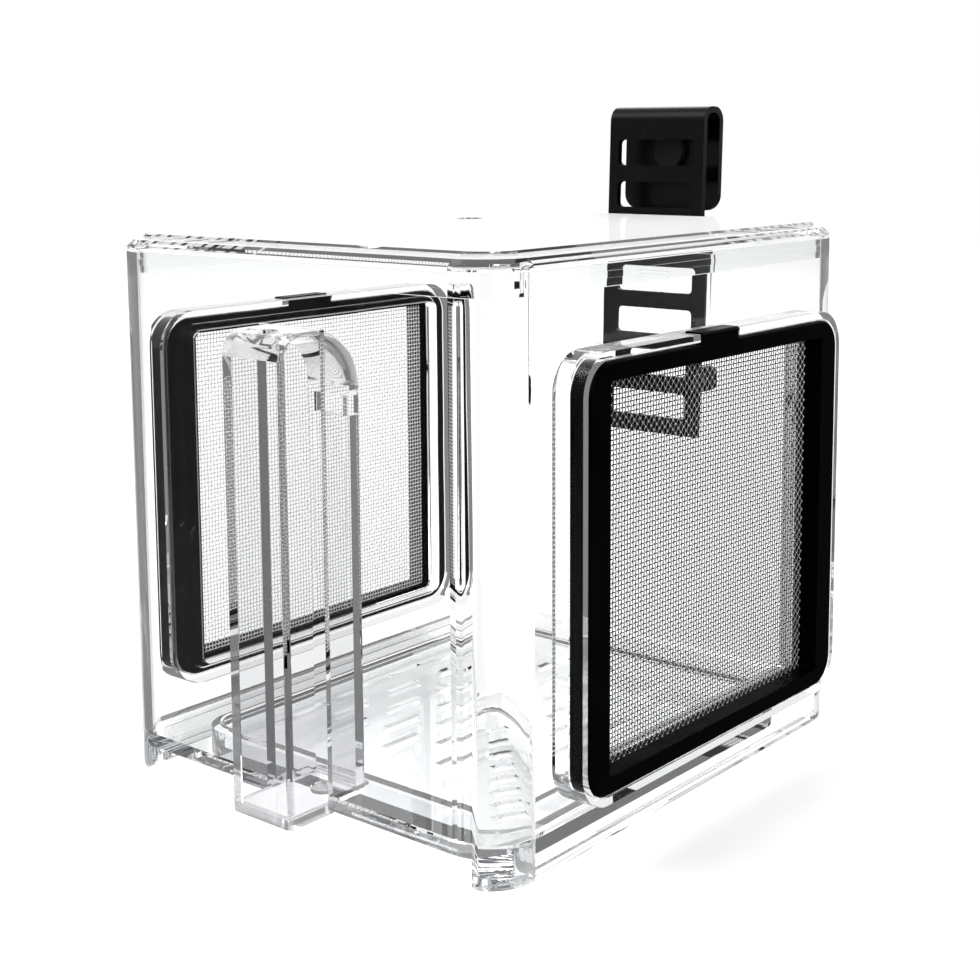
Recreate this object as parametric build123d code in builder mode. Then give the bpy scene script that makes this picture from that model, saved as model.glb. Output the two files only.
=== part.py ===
"""Hang-on fish breeding box: clear body, lid, mesh windows, air-lift chamber and ladder hook."""

from build123d import *
from math import cos, radians, sin
import os

os.makedirs("parts", exist_ok=True)

# ---- driving dimensions, millimetres ----

# clear body
body_width = 108.0
body_depth = 129.0
body_corner = 11.0
wall = 2.4
rim_height = 114.8
runner_height = 6.5
runner_width = 7.0
runner_edge = 0.9
groove_inset = 2.9
groove_width = 1.2
groove_depth = 2.4
ledge = 2.4

# well in the floor and the slotted plate over it
well_margin_side = 13.0
well_margin_end = 15.2
well_corner = 6.0
well_wall = 2.0
well_floor = 1.9
well_clearance = 0.5
seat_width = 1.6
seat_depth = 2.0
plate_thickness = 1.8
plate_fit = 0.4
slot_length = 10.5
slot_width = 1.6
slot_row_pitch = 7.7
slot_pitch = 17.6
slot_margin = 4.5

# lid
lid_flange = 2.5
lid_flange_edge = 1.4
lid_panel_rise = 1.2
lid_panel_inset = 3.6
lid_panel_edge = 0.5
skirt_wall = 1.6
skirt_depth = 4.7
skirt_fit = 0.6
bead_drop = 1.6
bead_height = 1.4
bead_proud = 0.3
feed_hole_radius = 4.0
feed_hole_x = -26.0
feed_hole_y = 22.0

# window rims moulded on the side walls
rim_length = 96.8
rim_rise = 86.9
rim_bottom = 12.8
rim_corner = 8.2
rim_proud = 7.1
rim_wall = 1.6
ring_seat = 1.4
seat_lap = 1.0

# mesh frame
frame_fit = 0.3
frame_proud = 7.3
frame_edge = 0.4
opening_length = 80.0
opening_rise = 75.8
opening_corner = 0.8
mesh_recess = 4.1
mesh_thickness = 0.5
mesh_lap = 2.4
mesh_cells = 8
mesh_bar = 2.4
ring_fit = 0.3
tab_width = 14.0
tab_offset = -2.0
tab_rise = 2.2
tab_fit = 0.4

# air-lift chamber through the front wall
chamber_x = 1.9
chamber_width = 17.0
chamber_proud = 10.1
chamber_inside = 12.5
chamber_bottom = 5.3
chamber_top = 102.1
chamber_wall = 2.2
chamber_front_radius = 5.0
chamber_inner_radius = 12.0
chamber_edge = 0.8
chamber_fit = 0.2
base_thickness = 2.2
inlet_radius = 2.5
inlet_inset = 6.5
air_hole_radius = 2.0
air_hole_inset = 4.9
outlet_width = 9.0
outlet_height = 4.0
outlet_bottom = 84.0

# ladder hook on the back wall
hook_x = -2.2
hook_lean = 2.2
strap_thickness = 1.6
strap_standoff = 1.5
strap_width = 28.4
ladder_width = 30.6
ladder_bottom = 62.2
ladder_height = 54.0
hook_height = 83.3
hook_gap = 5.8
hook_radius = 3.7
back_leg = 26.1
back_leg_corner = 4.0
rung_count = 7
rung_pitch = 10.7
rung_height = 4.2
window_width = 23.0
window_corner = 1.2

# clamp screw in the hook's back leg
clamp_drop = 11.1
boss_radius = 4.5
boss_length = 2.0
screw_radius = 2.5
screw_fit = 0.05
screw_travel = 3.0
knob_radius = 4.8
knob_length = 4.0
knob_grips = 6
knob_grip_radius = 1.0
pad_radius = 4.3
pad_thickness = 1.5
pad_gap = 0.3
tip_radius = 1.4
tip_length = 0.9

# guide on the back wall
guide_bottom = 84.0
guide_height = 25.0
guide_rail = 3.0
guide_lip = 1.6
guide_lip_lap = 2.6
guide_fit = 0.3
tongue_width = 8.0
tongue_length = 15.0
tongue_slit = 0.8
tongue_recess = 0.8
nub_height = 3.0

# rubber buttons beside the ladder
bumper_width = 4.0
bumper_height = 6.2
bumper_z = 77.6
bumper_proud = 4.0
bumper_gap = 0.5
bumper_stem = 1.4
bumper_stem_fit = 0.1

# ---- sizes that follow ----

inner_width = body_width - 2 * wall
inner_depth = body_depth - 2 * wall
inner_corner = body_corner - wall
ledge_top = runner_height + ledge
well_width = body_width - 2 * well_margin_side
well_depth = body_depth - 2 * well_margin_end
well_cavity_floor = well_clearance + well_floor
seat_top = ledge_top - seat_depth
rim_middle = rim_bottom + rim_rise / 2
pocket_length = rim_length - 2 * rim_wall
pocket_rise = rim_rise - 2 * rim_wall
frame_length = pocket_length - 2 * frame_fit
frame_rise = pocket_rise - 2 * frame_fit
frame_corner = rim_corner - rim_wall - frame_fit
frame_seat = frame_proud - mesh_recess
mesh_length = opening_length + 2 * mesh_lap
mesh_rise = opening_rise + 2 * mesh_lap
mesh_corner = opening_corner + mesh_lap
ring_thickness = frame_seat - ring_seat - mesh_thickness
mesh_pitch_y = opening_length / mesh_cells
mesh_pitch_z = opening_rise / mesh_cells
chamber_front = body_depth / 2 + chamber_proud
chamber_back = body_depth / 2 - chamber_inside
chamber_length = chamber_front - chamber_back
strap_front = body_depth / 2 + strap_standoff
lean_sin = sin(radians(hook_lean))
lean_cos = cos(radians(hook_lean))
gap_start = strap_thickness
gap_end = strap_thickness + hook_gap
hook_depth = gap_end + strap_thickness
clamp_height = hook_height - clamp_drop
boss_end = hook_depth + boss_length
knob_start = boss_end + screw_travel + pad_gap
knob_end = knob_start + knob_length
slot_height = rung_pitch - rung_height
back_reach = strap_front + (clamp_height + knob_radius) * lean_sin + knob_end * lean_cos

# the body's centre line, placed so that the origin is under the middle of the whole object
body_y = (chamber_front - back_reach) / 2


def level(height):
    """Horizontal plane at a height, centred on the body."""
    return Plane((0, body_y, height))


def side(x):
    """Upright plane across the body at x, drawn in y and z."""
    return Plane((x, body_y, 0), x_dir=(0, 1, 0), z_dir=(1, 0, 0))


def across(y):
    """Upright plane facing the front at y, drawn in x and z."""
    return Plane((0, body_y + y, 0), x_dir=(1, 0, 0), z_dir=(0, -1, 0))


def strap(back):
    """Plane of the leaning strap, a distance behind its front face, drawn in x and up."""
    origin = (hook_x, body_y + strap_front + back * lean_cos, ladder_bottom - back * lean_sin)
    return Plane(origin, x_dir=(1, 0, 0), z_dir=(0, -lean_cos, lean_sin))


# ---- clear body ----

with BuildPart() as box_body:
    with BuildSketch(level(runner_height)):
        RectangleRounded(body_width, body_depth, body_corner)
    extrude(amount=rim_height - runner_height)
    with BuildSketch(level(ledge_top)):
        RectangleRounded(inner_width, inner_depth, inner_corner)
    extrude(amount=rim_height - ledge_top, mode=Mode.SUBTRACT)

    # well, stepped to seat the slotted plate
    with BuildSketch(level(well_clearance)):
        RectangleRounded(well_width + 2 * well_wall, well_depth + 2 * well_wall, well_corner + well_wall)
    extrude(amount=ledge_top - well_clearance)
    with BuildSketch(level(well_cavity_floor)):
        RectangleRounded(well_width - 2 * seat_width, well_depth - 2 * seat_width, well_corner - seat_width)
    extrude(amount=ledge_top - well_cavity_floor, mode=Mode.SUBTRACT)
    with BuildSketch(level(seat_top)):
        RectangleRounded(well_width, well_depth, well_corner)
    extrude(amount=seat_depth, mode=Mode.SUBTRACT)

    # runners under the side walls, following the body's corners and grooved along their length
    with BuildSketch(level(0)):
        runner_x = (body_width - runner_width) / 2
        with Locations((runner_x, 0), (-runner_x, 0)):
            Rectangle(runner_width, body_depth)
        RectangleRounded(body_width, body_depth, body_corner, mode=Mode.INTERSECT)
    extrude(amount=runner_height)
    with BuildSketch(level(0)):
        groove_outside = 2 * groove_inset
        RectangleRounded(
            body_width - groove_outside,
            body_depth - groove_outside,
            body_corner - groove_inset,
        )
        offset(amount=-groove_width, mode=Mode.SUBTRACT)
    extrude(amount=groove_depth, mode=Mode.SUBTRACT)
    chamfer(box_body.faces().group_by(Axis.Z)[0].edges(), runner_edge)

    # window rims: seats for the frame and its ring, a notch for the tab and an opening
    for hand in (1, -1):
        wall_face = hand * body_width / 2
        with BuildSketch(side(wall_face)):
            with Locations((0, rim_middle)):
                RectangleRounded(rim_length, rim_rise, rim_corner)
        extrude(amount=rim_proud, dir=(hand, 0, 0))
        with BuildSketch(side(wall_face + hand * frame_seat)):
            with Locations((0, rim_middle)):
                RectangleRounded(pocket_length, pocket_rise, rim_corner - rim_wall)
            with Locations((tab_offset, rim_bottom + rim_rise)):
                Rectangle(tab_width + 2 * tab_fit, 4 * rim_wall)
        extrude(amount=rim_proud, dir=(hand, 0, 0), mode=Mode.SUBTRACT)
        with BuildSketch(side(wall_face + hand * ring_seat)):
            with Locations((0, rim_middle)):
                RectangleRounded(mesh_length, mesh_rise, mesh_corner)
        extrude(amount=rim_proud, dir=(hand, 0, 0), mode=Mode.SUBTRACT)
        with BuildSketch(side(wall_face + hand * ring_seat)):
            with Locations((0, rim_middle)):
                RectangleRounded(
                    opening_length + 2 * seat_lap,
                    opening_rise + 2 * seat_lap,
                    opening_corner + seat_lap,
                )
        extrude(amount=ring_seat + wall, dir=(-hand, 0, 0), mode=Mode.SUBTRACT)

    # cut-out for the air-lift chamber through the front wall and the ledge
    with BuildSketch(level(0)):
        with Locations((chamber_x, -chamber_back + chamber_fit)):
            Rectangle(
                chamber_width + 2 * chamber_fit,
                chamber_length,
                align=(Align.CENTER, Align.MAX),
            )
    extrude(amount=chamber_top + chamber_fit, mode=Mode.SUBTRACT)

    # holes for the rubber buttons' stems
    bumper_x = ladder_width / 2 + bumper_gap + bumper_width / 2
    with BuildSketch(across(body_depth / 2)):
        with Locations((hook_x + bumper_x, bumper_z), (hook_x - bumper_x, bumper_z)):
            Circle(bumper_stem + bumper_stem_fit)
    extrude(amount=wall, mode=Mode.SUBTRACT)
box_body.part.label = "box_body"
export_step(box_body.part, "parts/box_body.step")


# ---- lid ----

with BuildPart() as lid:
    with BuildSketch(level(rim_height)):
        RectangleRounded(body_width, body_depth, body_corner)
    extrude(amount=lid_flange)
    chamfer(lid.faces().sort_by(Axis.Z)[-1].edges(), lid_flange_edge)
    with BuildSketch(level(rim_height + lid_flange)):
        RectangleRounded(
            body_width - 2 * lid_panel_inset,
            body_depth - 2 * lid_panel_inset,
            body_corner - lid_panel_inset,
        )
    extrude(amount=lid_panel_rise)
    chamfer(lid.faces().sort_by(Axis.Z)[-1].edges(), lid_panel_edge)

    # skirt inside the walls, with a bead round it
    with BuildSketch(level(rim_height)) as skirt:
        RectangleRounded(inner_width - 2 * skirt_fit, inner_depth - 2 * skirt_fit, inner_corner - skirt_fit)
        offset(amount=-skirt_wall, mode=Mode.SUBTRACT)
    extrude(amount=-skirt_depth)
    with BuildSketch(level(rim_height - bead_drop)):
        RectangleRounded(
            inner_width - 2 * (skirt_fit - bead_proud),
            inner_depth - 2 * (skirt_fit - bead_proud),
            inner_corner - skirt_fit + bead_proud,
        )
        RectangleRounded(
            inner_width - 2 * skirt_fit - skirt_wall,
            inner_depth - 2 * skirt_fit - skirt_wall,
            inner_corner - skirt_fit - skirt_wall / 2,
            mode=Mode.SUBTRACT,
        )
    extrude(amount=-bead_height)

    # feeding and air-line hole
    with Locations(level(rim_height + lid_flange + lid_panel_rise)):
        with Locations((feed_hole_x, feed_hole_y)):
            Hole(feed_hole_radius)
lid.part.label = "lid"
export_step(lid.part, "parts/lid.step")


# ---- slotted floor plate ----

plate_width = well_width - 2 * plate_fit
plate_depth = well_depth - 2 * plate_fit
row_count = int((plate_width - 2 * slot_margin) / slot_row_pitch)
slot_count = int((plate_depth - 2 * slot_margin - slot_pitch / 2) / slot_pitch)

with BuildPart() as floor_plate:
    with BuildSketch(level(seat_top)):
        RectangleRounded(plate_width, plate_depth, well_corner - plate_fit)
        for row in range(row_count):
            row_x = (row - (row_count - 1) / 2) * slot_row_pitch
            stagger = slot_pitch / 4 if row % 2 else -slot_pitch / 4
            with Locations((row_x, stagger)):
                with GridLocations(1, slot_pitch, 1, slot_count):
                    Rectangle(slot_width, slot_length, mode=Mode.SUBTRACT)
    extrude(amount=plate_thickness)
floor_plate.part.label = "floor_plate"
export_step(floor_plate.part, "parts/floor_plate.step")


# ---- mesh windows, one on each side ----

for hand, name in ((1, "right"), (-1, "left")):
    seat_x = hand * (body_width / 2 + frame_seat)
    mesh_x = hand * (body_width / 2 + ring_seat + ring_thickness)
    ring_x = hand * (body_width / 2 + ring_seat)

    # frame with its pull tab and opening
    with BuildPart() as mesh_frame:
        with BuildSketch(side(seat_x)):
            with Locations((0, rim_middle)):
                RectangleRounded(frame_length, frame_rise, frame_corner)
            with Locations((tab_offset, rim_middle + frame_rise / 2 + tab_rise)):
                Rectangle(tab_width, 2 * tab_rise, align=(Align.CENTER, Align.MAX))
        extrude(amount=mesh_recess, dir=(hand, 0, 0))
        front = mesh_frame.faces().sort_by(Axis.X)[-1 if hand > 0 else 0]
        chamfer(front.edges(), frame_edge)
        with BuildSketch(side(seat_x)):
            with Locations((0, rim_middle)):
                RectangleRounded(opening_length, opening_rise, opening_corner)
        extrude(amount=mesh_recess, dir=(hand, 0, 0), mode=Mode.SUBTRACT)
    mesh_frame.part.label = f"{name}_mesh_frame"
    export_step(mesh_frame.part, f"parts/{name}_mesh_frame.step")

    # mesh, a thin sheet with a plain grid of openings against the back of the frame
    with BuildPart() as mesh:
        with BuildSketch(side(mesh_x)):
            with Locations((0, rim_middle)):
                RectangleRounded(
                    mesh_length - 2 * ring_fit,
                    mesh_rise - 2 * ring_fit,
                    mesh_corner - ring_fit,
                )
                with GridLocations(mesh_pitch_y, mesh_pitch_z, mesh_cells, mesh_cells):
                    Rectangle(mesh_pitch_y - mesh_bar, mesh_pitch_z - mesh_bar, mode=Mode.SUBTRACT)
        extrude(amount=mesh_thickness, dir=(hand, 0, 0))
    mesh.part.label = f"{name}_mesh"
    export_step(mesh.part, f"parts/{name}_mesh.step")

    # ring that holds the mesh against the frame
    with BuildPart() as mesh_ring:
        with BuildSketch(side(ring_x)):
            with Locations((0, rim_middle)):
                RectangleRounded(
                    mesh_length - 2 * ring_fit,
                    mesh_rise - 2 * ring_fit,
                    mesh_corner - ring_fit,
                )
                RectangleRounded(opening_length, opening_rise, opening_corner, mode=Mode.SUBTRACT)
        extrude(amount=ring_thickness, dir=(hand, 0, 0))
    mesh_ring.part.label = f"{name}_mesh_ring"
    export_step(mesh_ring.part, f"parts/{name}_mesh_ring.step")


# ---- air-lift chamber ----

chamber_floor = chamber_bottom + base_thickness

with BuildPart() as airlift_chamber:
    with BuildSketch(side(chamber_x)) as chamber_profile:
        with Locations((-chamber_front, chamber_floor)):
            Rectangle(
                chamber_length,
                chamber_top - chamber_floor,
                align=(Align.MIN, Align.MIN),
            )
        top_corners = chamber_profile.vertices().group_by(Axis.Y)[-1].sort_by(Axis.X)
        fillet(top_corners[0], chamber_front_radius)
        fillet(chamber_profile.vertices().group_by(Axis.Y)[-1].sort_by(Axis.X)[-1], chamber_inner_radius)
    extrude(amount=chamber_width / 2, both=True)
    chamfer(airlift_chamber.edges().filter_by(Axis.Z), chamber_edge)
    offset(amount=-chamber_wall, openings=airlift_chamber.faces().sort_by(Axis.Z)[0])

    # hole for the air line
    with Locations(level(chamber_top)):
        with Locations((chamber_x, -chamber_front + air_hole_inset)):
            Hole(air_hole_radius, depth=2 * chamber_wall)

    # outlet slot at the top of the inner end
    with BuildSketch(across(-chamber_back)):
        with Locations((chamber_x, outlet_bottom)):
            Rectangle(outlet_width, outlet_height, align=(Align.CENTER, Align.MIN))
    extrude(amount=2 * chamber_wall, mode=Mode.SUBTRACT)
airlift_chamber.part.label = "airlift_chamber"
export_step(airlift_chamber.part, "parts/airlift_chamber.step")


# ---- chamber base with the water inlet ----

chamber_middle = -(chamber_front + chamber_back) / 2

with BuildPart() as chamber_base:
    with BuildSketch(level(chamber_bottom)):
        with Locations((chamber_x, chamber_middle)):
            Rectangle(chamber_width, chamber_length)
    extrude(amount=base_thickness)
    chamfer(chamber_base.edges().filter_by(Axis.Z), chamber_edge)
    with BuildSketch(level(chamber_bottom)):
        with Locations((chamber_x, -chamber_back - inlet_inset)):
            Circle(inlet_radius)
    extrude(amount=base_thickness, mode=Mode.SUBTRACT)
chamber_base.part.label = "chamber_base"
export_step(chamber_base.part, "parts/chamber_base.step")


# ---- ladder hook: strap, U bend and back leg in one piece ----

first_window = rung_height + slot_height / 2

with BuildPart() as ladder_hook:
    # side profile of the strap and hook, drawn in back and up
    profile_plane = Plane(
        (hook_x, body_y + strap_front, ladder_bottom),
        x_dir=(0, lean_cos, -lean_sin),
        z_dir=(1, 0, 0),
    )
    with BuildSketch(profile_plane) as hook_profile:
        with Locations((0, hook_height)):
            Rectangle(hook_depth, hook_height, align=(Align.MIN, Align.MAX))
        fillet(hook_profile.vertices().group_by(Axis.Y)[-1], hook_radius)
        with Locations((gap_start, hook_height - strap_thickness)):
            RectangleRounded(
                hook_gap,
                2 * hook_height,
                hook_radius - strap_thickness,
                align=(Align.MIN, Align.MAX),
                mode=Mode.SUBTRACT,
            )
        with Locations((gap_end, hook_height - back_leg)):
            Rectangle(2 * strap_thickness, hook_height, align=(Align.MIN, Align.MAX), mode=Mode.SUBTRACT)
    extrude(amount=strap_width / 2, both=True)
    with BuildSketch(strap(0)):
        Rectangle(ladder_width, ladder_height, align=(Align.CENTER, Align.MIN))
    extrude(amount=-strap_thickness)

    # rounded lower corners of the back leg
    with BuildSketch(strap(hook_depth)) as leg_outline:
        with Locations((0, hook_height - back_leg)):
            Rectangle(strap_width, back_leg, align=(Align.CENTER, Align.MIN))
            RectangleRounded(
                strap_width,
                2 * back_leg,
                back_leg_corner,
                align=(Align.CENTER, Align.MIN),
                mode=Mode.SUBTRACT,
            )
    extrude(amount=strap_thickness, mode=Mode.SUBTRACT)

    # row of ladder windows
    with BuildSketch(strap(0)):
        for rung in range(rung_count):
            with Locations((0, first_window + rung * rung_pitch)):
                RectangleRounded(window_width, slot_height, window_corner)
    extrude(amount=-strap_thickness, mode=Mode.SUBTRACT)

    # screw boss behind the back leg, and its bore
    with BuildSketch(strap(hook_depth)):
        with Locations((0, clamp_height)):
            Circle(boss_radius)
    extrude(amount=-boss_length)
    with BuildSketch(strap(gap_end)):
        with Locations((0, clamp_height)):
            Circle(screw_radius)
    extrude(amount=-(strap_thickness + boss_length), mode=Mode.SUBTRACT)
ladder_hook.part.label = "ladder_hook"
export_step(ladder_hook.part, "parts/ladder_hook.step")


# ---- clamp screw with its grip, and the pad on its tip ----

pad_back = gap_end - pad_gap
pad_front = pad_back - pad_thickness

with BuildPart() as clamp_screw:
    with BuildSketch(strap(pad_back)):
        with Locations((0, clamp_height)):
            Circle(screw_radius - screw_fit)
    extrude(amount=-(knob_start - pad_back))
    with BuildSketch(strap(pad_back)):
        with Locations((0, clamp_height)):
            Circle(tip_radius)
    extrude(amount=tip_length)
    with BuildSketch(strap(knob_start)):
        with Locations((0, clamp_height)):
            Circle(knob_radius)
            with PolarLocations(knob_radius, knob_grips):
                Circle(knob_grip_radius, mode=Mode.SUBTRACT)
    extrude(amount=-knob_length)
clamp_screw.part.label = "clamp_screw"
export_step(clamp_screw.part, "parts/clamp_screw.step")

with BuildPart() as clamp_pad:
    with BuildSketch(strap(pad_back)):
        with Locations((0, clamp_height)):
            Circle(pad_radius)
    extrude(amount=pad_thickness)
    with BuildSketch(strap(pad_back)):
        with Locations((0, clamp_height)):
            Circle(tip_radius + screw_fit)
    extrude(amount=tip_length + screw_fit, mode=Mode.SUBTRACT)
clamp_pad.part.label = "clamp_pad"
export_step(clamp_pad.part, "parts/clamp_pad.step")


# ---- guide on the back wall, in which the ladder slides ----

guide_foot = guide_bottom - ladder_bottom
guide_width = ladder_width + 2 * (guide_fit + guide_rail)
channel_depth = strap_thickness + 2 * guide_fit

with BuildPart() as hook_bracket:
    with BuildSketch(across(body_depth / 2)):
        with Locations((hook_x, guide_bottom)):
            Rectangle(guide_width, guide_height, align=(Align.CENTER, Align.MIN))
    extrude(amount=-(strap_standoff + channel_depth + guide_lip + guide_height * lean_sin + 2 * guide_lip))

    # trimmed behind, parallel to the strap
    with BuildSketch(strap(strap_thickness + guide_fit + guide_lip)):
        Rectangle(2 * guide_width, 4 * guide_height, align=(Align.CENTER, Align.MIN))
    extrude(amount=-4 * guide_lip, mode=Mode.SUBTRACT)

    # channel for the strap, and the open slot between the lips
    with BuildSketch(strap(-guide_fit)):
        Rectangle(ladder_width + 2 * guide_fit, 4 * guide_height, align=(Align.CENTER, Align.MIN))
    extrude(amount=-channel_depth, mode=Mode.SUBTRACT)
    with BuildSketch(strap(strap_thickness)):
        Rectangle(ladder_width - 2 * guide_lip_lap, 4 * guide_height, align=(Align.CENTER, Align.MIN))
    extrude(amount=-4 * guide_lip, mode=Mode.SUBTRACT)

    # spring tongue with its nub, shown pressed back clear of the strap
    tongue_foot = guide_foot + (guide_height - tongue_length) / 2
    with BuildSketch(strap(0)):
        with Locations((0, tongue_foot)):
            Rectangle(tongue_width + 2 * tongue_slit, tongue_length, align=(Align.CENTER, Align.MIN))
            Rectangle(
                tongue_width,
                tongue_length - tongue_slit,
                align=(Align.CENTER, Align.MIN),
                mode=Mode.SUBTRACT,
            )
    extrude(amount=3 * guide_rail, mode=Mode.SUBTRACT)
    with BuildSketch(strap(-guide_fit)):
        with Locations((0, tongue_foot)):
            Rectangle(
                tongue_width,
                tongue_length - tongue_slit - nub_height,
                align=(Align.CENTER, Align.MIN),
            )
    extrude(amount=tongue_recess, mode=Mode.SUBTRACT)
hook_bracket.part.label = "hook_bracket"
export_step(hook_bracket.part, "parts/hook_bracket.step")


# ---- rubber buttons beside the ladder ----

for hand, name in ((1, "right"), (-1, "left")):
    with BuildPart() as bumper:
        with BuildSketch(across(body_depth / 2)):
            with Locations((hook_x + hand * bumper_x, bumper_z)):
                SlotOverall(bumper_height, bumper_width, rotation=90)
        extrude(amount=-bumper_proud)
        with BuildSketch(across(body_depth / 2)):
            with Locations((hook_x + hand * bumper_x, bumper_z)):
                Circle(bumper_stem)
        extrude(amount=wall)
    bumper.part.label = f"{name}_bumper"
    export_step(bumper.part, f"parts/{name}_bumper.step")
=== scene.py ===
import math
import bmesh
import bpy
from mathutils import Matrix, Vector


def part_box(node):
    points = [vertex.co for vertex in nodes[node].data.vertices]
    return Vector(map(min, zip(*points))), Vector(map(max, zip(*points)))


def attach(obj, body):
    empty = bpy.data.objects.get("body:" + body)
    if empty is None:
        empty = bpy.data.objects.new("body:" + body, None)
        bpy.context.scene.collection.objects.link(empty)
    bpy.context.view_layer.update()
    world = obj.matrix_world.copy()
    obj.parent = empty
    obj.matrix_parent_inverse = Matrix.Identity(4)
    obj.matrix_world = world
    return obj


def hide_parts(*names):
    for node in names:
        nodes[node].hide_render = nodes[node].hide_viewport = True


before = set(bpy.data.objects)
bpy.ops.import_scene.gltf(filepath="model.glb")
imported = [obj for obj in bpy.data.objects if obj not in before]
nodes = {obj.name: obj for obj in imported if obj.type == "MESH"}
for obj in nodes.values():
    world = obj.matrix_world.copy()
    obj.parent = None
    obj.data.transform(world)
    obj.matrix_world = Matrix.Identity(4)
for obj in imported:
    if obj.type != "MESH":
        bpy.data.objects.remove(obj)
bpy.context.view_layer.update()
scene = bpy.context.scene
print("frame loaded:", len(nodes), "nodes")


# the camera, at the photograph's angle
cameraSet = {
    "place": (0.23365, -0.28995, 0.14016),   # metres, in the frame
    "yaw": 0.6932,        # radians, turned left from looking along +Y
    "pitch": -0.1339,
    "roll": -0.0063,
    "focal": 1646.0,      # pixels
    "imageSide": 980.0,   # pixels
    "axisPixel": (484.9, 350.0),   # where the optical axis meets the image
    "sensor": 36.0,       # millimetres
    "nearest": 0.01,      # metres
    "farthest": 20.0,     # metres
}


def makeCamera(view):
    data = bpy.data.cameras.new("camera")
    camera = bpy.data.objects.new("camera", data)
    scene.collection.objects.link(camera)
    side = view["imageSide"]
    data.sensor_width = view["sensor"]
    data.lens = view["focal"] / side * view["sensor"]
    data.shift_x = (side / 2 - view["axisPixel"][0]) / side
    data.shift_y = (view["axisPixel"][1] - side / 2) / side
    turn = Matrix.Rotation(view["yaw"], 4, "Z") @ Matrix.Rotation(math.pi / 2 + view["pitch"], 4, "X")
    camera.matrix_world = Matrix.Translation(view["place"]) @ turn @ Matrix.Rotation(view["roll"], 4, "Z")
    data.clip_start = view["nearest"]
    data.clip_end = view["farthest"]
    scene.camera = camera


makeCamera(cameraSet)
print("camera placed")


# small helpers that build material nodes
def newMaterial(name):
    material = bpy.data.materials.new(name)
    material.use_nodes = True
    material.node_tree.nodes.clear()
    return material, material.node_tree


def addNode(tree, kind, inputs=None, **settings):
    node = tree.nodes.new(kind)
    for key, value in settings.items():
        setattr(node, key, value)
    for key, value in (inputs or {}).items():
        if isinstance(value, bpy.types.NodeSocket):
            tree.links.new(value, node.inputs[key])
        else:
            node.inputs[key].default_value = value
    return node


def mathOf(tree, operation, first, second):
    return addNode(tree, "ShaderNodeMath", {0: first, 1: second}, operation=operation).outputs[0]


def mixColours(tree, amount, first, second):
    # in a colour mix, sockets 6 and 7 are the two colours, and output 2 is the result
    return addNode(tree, "ShaderNodeMix", {0: amount, 6: first, 7: second}, data_type="RGBA").outputs[2]


def mixShaders(tree, amount, first, second):
    return addNode(tree, "ShaderNodeMixShader", {0: amount, 1: first, 2: second}).outputs["Shader"]


def objectNoise(tree, scale, detail, stretch=(1, 1, 1)):
    place = addNode(tree, "ShaderNodeTexCoord")
    mapping = addNode(tree, "ShaderNodeMapping", {"Vector": place.outputs["Object"], "Scale": stretch})
    noise = addNode(
        tree,
        "ShaderNodeTexNoise",
        {"Vector": mapping.outputs["Vector"], "Scale": scale, "Detail": detail},
    )
    return noise.outputs["Fac"]


def ramp(tree, value, low, high, fromLow=0.3, fromHigh=0.7):
    # the default reach is where nearly all of a noise's values lie
    node = addNode(
        tree,
        "ShaderNodeMapRange",
        {"Value": value, "From Min": fromLow, "From Max": fromHigh, "To Min": low, "To Max": high},
    )
    return node.outputs["Result"]


def bumpFrom(tree, height, strength, distance):
    node = addNode(tree, "ShaderNodeBump", {"Height": height, "Strength": strength, "Distance": distance})
    return node.outputs["Normal"]


def finishMaterial(tree, shader, volume=None):
    out = addNode(tree, "ShaderNodeOutputMaterial", {"Surface": shader})
    if volume is not None:
        tree.links.new(volume, out.inputs["Volume"])


# clear plastic: polished, a little wavy, letting shadow rays through
clearSet = {
    "colour": (0.985, 0.99, 0.99, 1),
    "ior": 1.49,
    "reflect": (0.0, 0.0, 0.0, 1),        # it mirrors nothing where it is seen straight on
    "shadow": (0.965, 0.965, 0.97, 1),    # what one surface lets through of the lamps' light
    "absorb": (0.62, 0.64, 0.66, 1),
    "density": 9.0,       # per metre, so that edges seen end on turn grey
    "waveScale": 55.0,    # swells to the metre, as a moulding has
    "waveDetail": 1.0,
    "waveStrength": 0.35,
    "waveHeight": 0.00005,
    "smearScale": 330.0,  # faint smears, longer upwards
    "smearDetail": 4.0,
    "smearStretch": (1, 1, 0.3),
    "roughLow": 0.0,
    "roughHigh": 0.012,
    "deepest": 10.0,      # bounces after which a trapped ray goes straight on
    "haze": 0.6,          # how white the surface turns where it is seen almost edge on
    "hazeFrom": 0.84,     # from square on at 0 to edge on at 1
    "hazeTo": 0.98,
    "hazeColour": (0.95, 0.95, 0.95, 1),
}
lidSet = {**clearSet, "haze": 0.8, "hazeFrom": 0.78, "hazeTo": 0.93}
chamberSet = {**clearSet, "colour": (0.92, 0.92, 0.925, 1), "haze": 0.8, "hazeFrom": 0.7, "hazeTo": 0.88}
plateSet = {**clearSet, "ior": 1.05, "density": 1.0}
guideSet = {**clearSet, "ior": 1.09, "density": 1.0}


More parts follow.
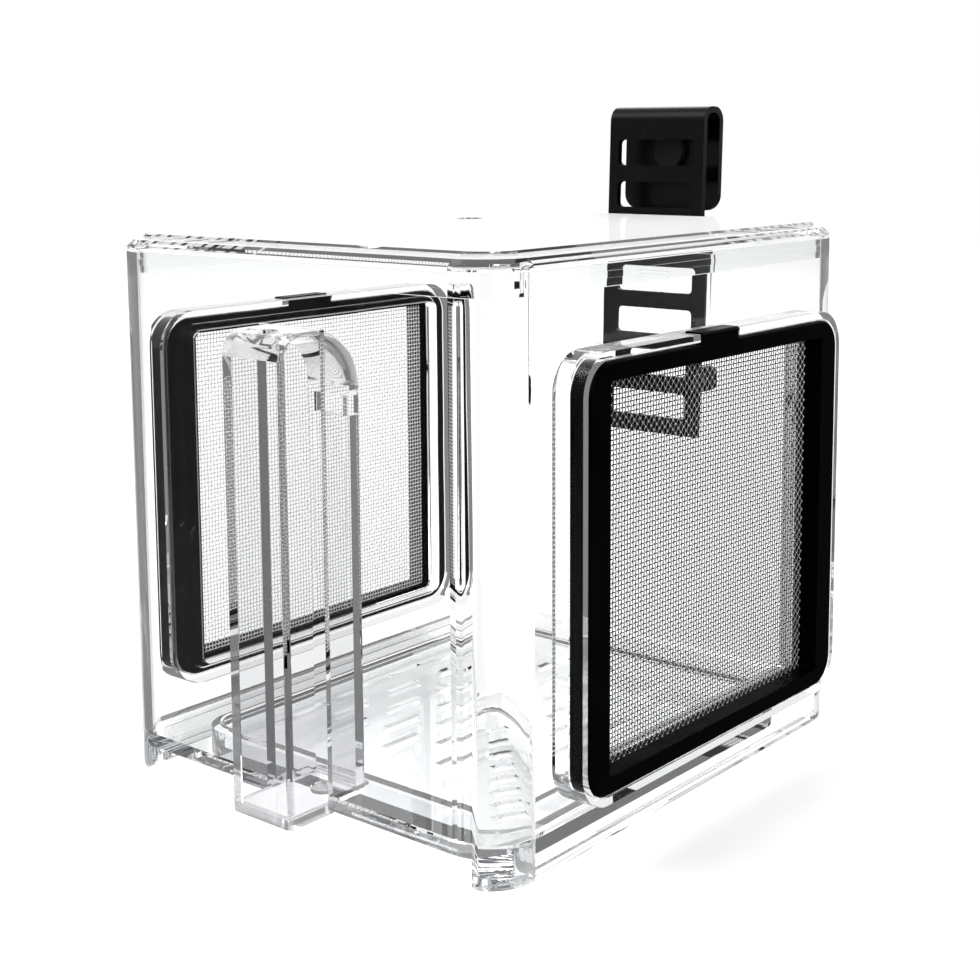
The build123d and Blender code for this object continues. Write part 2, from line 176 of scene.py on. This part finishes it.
def makeClear(name, look):
    material, tree = newMaterial(name)
    wave = objectNoise(tree, look["waveScale"], look["waveDetail"])
    smear = objectNoise(tree, look["smearScale"], look["smearDetail"], look["smearStretch"])
    body = addNode(
        tree,
        "ShaderNodeBsdfPrincipled",
        {
            "Base Color": look["colour"],
            "Roughness": ramp(tree, smear, look["roughLow"], look["roughHigh"]),
            "IOR": look["ior"],
            "Normal": bumpFrom(tree, wave, look["waveStrength"], look["waveHeight"]),
            "Specular Tint": look["reflect"],
            "Transmission Weight": 1.0,
        },
    )
    slant = addNode(tree, "ShaderNodeLayerWeight", {"Blend": 0.5})
    amount = ramp(tree, slant.outputs["Facing"], 0.0, look["haze"], look["hazeFrom"], look["hazeTo"])
    veil = addNode(tree, "ShaderNodeBsdfDiffuse", {"Color": look["hazeColour"]})
    shown = mixShaders(tree, amount, body.outputs["BSDF"], veil.outputs["BSDF"])
    path = addNode(tree, "ShaderNodeLightPath")
    trapped = mathOf(tree, "GREATER_THAN", path.outputs["Ray Depth"], look["deepest"])
    straight = mathOf(tree, "MAXIMUM", path.outputs["Is Shadow Ray"], trapped)
    through = addNode(tree, "ShaderNodeBsdfTransparent", {"Color": look["shadow"]})
    soak = addNode(tree, "ShaderNodeVolumeAbsorption", {"Color": look["absorb"], "Density": look["density"]})
    finishMaterial(tree, mixShaders(tree, straight, shown, through.outputs["BSDF"]), soak.outputs["Volume"])
    return material


clearPlastic = makeClear("clearPlastic", clearSet)
chamberPlastic = makeClear("chamberPlastic", chamberSet)
platePlastic = makeClear("platePlastic", plateSet)
guidePlastic = makeClear("guidePlastic", guideSet)
lidPlastic = makeClear("lidPlastic", lidSet)


# black moulded plastic, satin, and the rubber of the pads
blackSet = {
    "colour": (0.0006, 0.0006, 0.0007, 1),
    "worn": (0.0025, 0.0025, 0.0027, 1),
    "cloudScale": 45.0,     # slow drift between colour and worn
    "cloudDetail": 4.0,
    "roughLow": 0.2,
    "roughHigh": 0.34,
    "specular": 0.09,
    "grainScale": 2600.0,   # grains to the metre
    "grainDetail": 2.0,
    "grainStrength": 0.3,
    "grainHeight": 0.00004,
}
frameSet = {
    **blackSet,
    "colour": (0.0003, 0.0003, 0.0003, 1),
    "worn": (0.0012, 0.0012, 0.0013, 1),
    "specular": 0.012,
}
rubberSet = {**blackSet, "roughLow": 0.6, "roughHigh": 0.75, "specular": 0.3}


def makeBlack(name, look):
    material, tree = newMaterial(name)
    cloud = objectNoise(tree, look["cloudScale"], look["cloudDetail"])
    grain = objectNoise(tree, look["grainScale"], look["grainDetail"])
    body = addNode(
        tree,
        "ShaderNodeBsdfPrincipled",
        {
            "Base Color": mixColours(tree, ramp(tree, cloud, 0.0, 1.0), look["colour"], look["worn"]),
            "Roughness": ramp(tree, cloud, look["roughLow"], look["roughHigh"]),
            "Normal": bumpFrom(tree, grain, look["grainStrength"], look["grainHeight"]),
            "Specular IOR Level": look["specular"],
        },
    )
    finishMaterial(tree, body.outputs["BSDF"])
    return material


blackPlastic = makeBlack("blackPlastic", blackSet)
framePlastic = makeBlack("framePlastic", frameSet)
rubber = makeBlack("rubber", rubberSet)
print("materials made")


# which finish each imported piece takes
finishOf = {
    "box_body": clearPlastic,
    "lid": lidPlastic,
    "floor_plate": platePlastic,
    "airlift_chamber": chamberPlastic,
    "chamber_base": chamberPlastic,
    "hook_bracket": guidePlastic,
    "right_mesh_frame": framePlastic,
    "left_mesh_frame": framePlastic,
    "right_mesh_ring": framePlastic,
    "left_mesh_ring": framePlastic,
    "ladder_hook": blackPlastic,
    "clamp_screw": blackPlastic,
    "clamp_pad": rubber,
    "right_bumper": rubber,
    "left_bumper": rubber,
}
opaqueFinishes = (blackPlastic, framePlastic, rubber)
drawSet = {
    "gap": 0.00003,    # clear pieces are drawn in by this much, so that touching faces never coincide
    "weld": 0.000001,  # corners nearer than this become one first
}


def drawIn(piece, draw):
    weld = piece.modifiers.new("weld", "WELD")
    weld.merge_threshold = draw["weld"]
    skin = piece.modifiers.new("skin", "DISPLACE")
    skin.mid_level = 0
    skin.strength = -draw["gap"]


for nodeName, material in finishOf.items():
    slots = nodes[nodeName].data.materials
    slots.clear()
    slots.append(material)
    if material not in opaqueFinishes:
        drawIn(nodes[nodeName], drawSet)
print("packed pieces dressed")


# steel wire of the woven mesh, with painted highlights on the crests of the crossings and painted shade in
# the dips on its outside, and a paler painted tone on its inside
wireSet = {
    "crest": (0.9, 0.9, 0.9, 1),      # painted highlight on the tops of the crossings, outside
    "dipPaintedShade": (0.008, 0.008, 0.008, 1),  # painted shade on the runs between them
    "crestReach": (1.1, 1.65),        # height over which dip turns to crest, in crest heights
    "inside": (0.81, 0.81, 0.82, 1),  # paler painted light on the tops on the side that faces into the box
    # painted shade in the dips on the side that faces into the box
    "insideDip": (0.69, 0.69, 0.69, 1),
    "insideReach": (-1.3, 0.2),       # from the tops to the dips there
    "rough": 0.3,
}


def makeWire(name, look, hand, middle, crest):
    # hand is 1 where outside is +X and -1 where it is -X
    material, tree = newMaterial(name)
    place = addNode(tree, "ShaderNodeTexCoord")
    spot = addNode(tree, "ShaderNodeSeparateXYZ", {0: place.outputs["Object"]})
    fromMiddle = mathOf(tree, "SUBTRACT", spot.outputs["X"], middle)
    height = mathOf(tree, "MULTIPLY", fromMiddle, hand / crest)
    geometry = addNode(tree, "ShaderNodeNewGeometry")
    normal = addNode(tree, "ShaderNodeSeparateXYZ", {0: geometry.outputs["Normal"]})
    towardX = mathOf(tree, "GREATER_THAN", normal.outputs["X"], 0.0)
    # painted highlight on the outer crests and painted shade in the dips, set by height across the mesh
    crestHighlightMask = ramp(tree, height, 0.0, 1.0, *look["crestReach"])
    outsideHighlightAndShade = mixColours(tree, crestHighlightMask, look["dipPaintedShade"], look["crest"])
    # on the inward side, painted shade in the dips under paler painted tops
    insideDipShadeMask = ramp(tree, height, 1.0, 0.0, *look["insideReach"])
    inside = mixColours(tree, insideDipShadeMask, look["insideDip"], look["inside"])
    facesOut = towardX if hand > 0 else mathOf(tree, "SUBTRACT", 1.0, towardX)
    # one steel wire painted two ways: lit and shaded copies chosen by which side faces out
    body = addNode(
        tree,
        "ShaderNodeBsdfPrincipled",
        {
            "Base Color": mixColours(tree, facesOut, inside, outsideHighlightAndShade),
            "Metallic": facesOut,   # the inside stays matt, as the photograph shows it
            "Roughness": look["rough"],
        },
    )
    finishMaterial(tree, body.outputs["BSDF"])
    return material


# the woven mesh in each window, all in metres
meshSet = {
    "pitch": 0.00096,        # from one wire to the next
    "wireRadius": 0.000135,
    "wireSides": 4,
    "margin": 0.0001,        # left free at the edge of the mesh
}


def wavyWire(form, steps, weave, crest, phase, across):
    # one wire along Y that rises or falls along X at each crossing, at the height given by across
    pitch = weave["pitch"]
    ring = bmesh.ops.create_circle(form, segments=weave["wireSides"], radius=weave["wireRadius"])["verts"]
    bmesh.ops.rotate(form, verts=ring, cent=(0, 0, 0), matrix=Matrix.Rotation(math.pi / 2, 3, "X"))
    bmesh.ops.translate(form, verts=ring, vec=(phase * crest, -steps / 2 * pitch, across))
    edges = list({edge for vert in ring for edge in vert.link_edges})
    for step in range(steps):
        phase = -phase
        grown = bmesh.ops.extrude_edge_only(form, edges=edges)["geom"]
        edges = [part for part in grown if isinstance(part, bmesh.types.BMEdge)]
        bmesh.ops.translate(
            form,
            verts=[part for part in grown if isinstance(part, bmesh.types.BMVert)],
            vec=(2 * phase * crest, pitch, 0),
        )


def wireRow(name, length, span, weave, crest, turned):
    # a pair of neighbouring wires, repeated over the span by an array
    steps = int(length / weave["pitch"])
    pairs = int(span / weave["pitch"] / 2)
    form = bmesh.new()
    first = -(pairs - 0.5) * weave["pitch"]
    wavyWire(form, steps, weave, crest, 1, first)
    wavyWire(form, steps, weave, crest, -1, first + weave["pitch"])
    if turned:
        bmesh.ops.rotate(form, verts=form.verts, cent=(0, 0, 0), matrix=Matrix.Rotation(math.pi / 2, 3, "X"))
        bmesh.ops.scale(form, verts=form.verts, vec=(-1, 1, 1))
    bmesh.ops.recalc_face_normals(form, faces=form.faces)
    mesh = bpy.data.meshes.new(name)
    form.to_mesh(mesh)
    form.free()
    piece = bpy.data.objects.new(name, mesh)
    scene.collection.objects.link(piece)
    rows = piece.modifiers.new("rows", "ARRAY")
    rows.count = pairs
    rows.use_relative_offset = False
    rows.use_constant_offset = True
    pairStep = 2 * weave["pitch"]
    rows.constant_offset_displace = (0, -pairStep, 0) if turned else (0, 0, pairStep)
    return piece


def weaveMesh(nodeName, body, weave, hand):
    low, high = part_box(nodeName)
    middle = (low + high) / 2
    crest = (high.x - low.x) / 2 - weave["wireRadius"]
    along = high.y - low.y - 2 * weave["margin"]
    tall = high.z - low.z - 2 * weave["margin"]
    steelWire = makeWire(f"{nodeName}Steel", wireSet, hand, middle.x, crest)
    for turned, label in ((False, "weft"), (True, "warp")):
        length, span = (tall, along) if turned else (along, tall)
        piece = wireRow(f"{nodeName}_{label}", length, span, weave, crest, turned)
        piece.data.transform(Matrix.Translation(middle))
        piece.data.materials.append(steelWire)
        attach(piece, body)
        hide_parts(nodeName)


for side, hand in (("right", 1), ("left", -1)):
    weaveMesh(f"{side}_mesh", f"{side}_window", meshSet, hand)
print("mesh woven")


# pale floor and white backdrop
stageSet = {
    "floorSide": 6.0,
    "floorColour": (0.86, 0.86, 0.86, 1),
    "white": (1, 1, 1, 1),
    "glowNear": 0.3,           # white added for the eye where the lamps reach
    "glowFar": 0.43,
    "glowReach": (0.25, 1.3),  # metres from the object over which near turns to far
    "mirrorFloor": 0.25,       # how bright the floor is to rays that have been reflected
    "mirrorWorld": 1.0,
    "backWhite": 1.0,
    "ambient": 0.66,
}


def seenRay(tree):
    path = addNode(tree, "ShaderNodeLightPath")
    direct = mathOf(tree, "MAXIMUM", path.outputs["Is Camera Ray"], path.outputs["Is Glossy Ray"])
    return mathOf(tree, "MAXIMUM", direct, path.outputs["Is Transmission Ray"])


def mirroredRay(tree):
    path = addNode(tree, "ShaderNodeLightPath")
    return mathOf(tree, "GREATER_THAN", path.outputs["Glossy Depth"], 0.0)


def makeFloor(look):
    form = bmesh.new()
    bmesh.ops.create_grid(form, x_segments=1, y_segments=1, size=look["floorSide"] / 2)
    mesh = bpy.data.meshes.new("floor")
    form.to_mesh(mesh)
    form.free()
    floor = bpy.data.objects.new("floor", mesh)
    scene.collection.objects.link(floor)
    material, tree = newMaterial("paleFloor")
    paper = addNode(tree, "ShaderNodeBsdfDiffuse", {"Color": look["floorColour"]})
    place = addNode(tree, "ShaderNodeTexCoord")
    away = addNode(tree, "ShaderNodeVectorMath", {0: place.outputs["Object"]}, operation="LENGTH")
    lift = ramp(tree, away.outputs["Value"], look["glowNear"], look["glowFar"], *look["glowReach"])
    glow = addNode(tree, "ShaderNodeEmission", {"Color": look["white"], "Strength": lift})
    lit = addNode(tree, "ShaderNodeAddShader", {0: paper.outputs["BSDF"], 1: glow.outputs["Emission"]})
    dim = addNode(tree, "ShaderNodeEmission", {"Color": look["white"], "Strength": look["mirrorFloor"]})
    seen = mixShaders(tree, seenRay(tree), paper.outputs["BSDF"], lit.outputs["Shader"])
    finishMaterial(tree, mixShaders(tree, mirroredRay(tree), seen, dim.outputs["Emission"]))
    mesh.materials.append(material)


def makeWorld(look):
    world = bpy.data.worlds.new("studio")
    scene.world = world
    world.use_nodes = True
    tree = world.node_tree
    tree.nodes.clear()
    sky = {}
    for level in ("ambient", "backWhite", "mirrorWorld"):
        shade = addNode(tree, "ShaderNodeBackground", {"Color": look["white"], "Strength": look[level]})
        sky[level] = shade.outputs["Background"]
    seen = mixShaders(tree, seenRay(tree), sky["ambient"], sky["backWhite"])
    shown = mixShaders(tree, mirroredRay(tree), seen, sky["mirrorWorld"])
    addNode(tree, "ShaderNodeOutputWorld", {"Surface": shown})


makeFloor(stageSet)
makeWorld(stageSet)

# soft lamps: metres and watts
lampAim = (0, 0, 0.06)
lampSet = {
    "keyLamp": {"place": (-0.5, -0.5, 0.9), "size": (0.6, 0.6), "power": 5.0},
    "fillLamp": {"place": (0.9, -0.3, 0.5), "size": (0.5, 0.7), "power": 3.0},
    "backLamp": {"place": (-0.3, 0.9, 0.7), "size": (0.8, 0.4), "power": 3.0},
}


def addLamp(name, look):
    data = bpy.data.lights.new(name, "AREA")
    data.shape = "RECTANGLE"
    data.size, data.size_y = look["size"]
    data.energy = look["power"]
    lamp = bpy.data.objects.new(name, data)
    scene.collection.objects.link(lamp)
    lamp.location = look["place"]
    lamp.rotation_euler = (Vector(lampAim) - lamp.location).to_track_quat("-Z", "Y").to_euler()


for lampName, look in lampSet.items():
    addLamp(lampName, look)

scene.view_settings.view_transform = "Standard"
scene.cycles.max_bounces = 32   # light has to pass many clear walls
scene.cycles.transmission_bounces = 32
scene.cycles.glossy_bounces = 16
scene.cycles.transparent_max_bounces = 32
print("stage set")
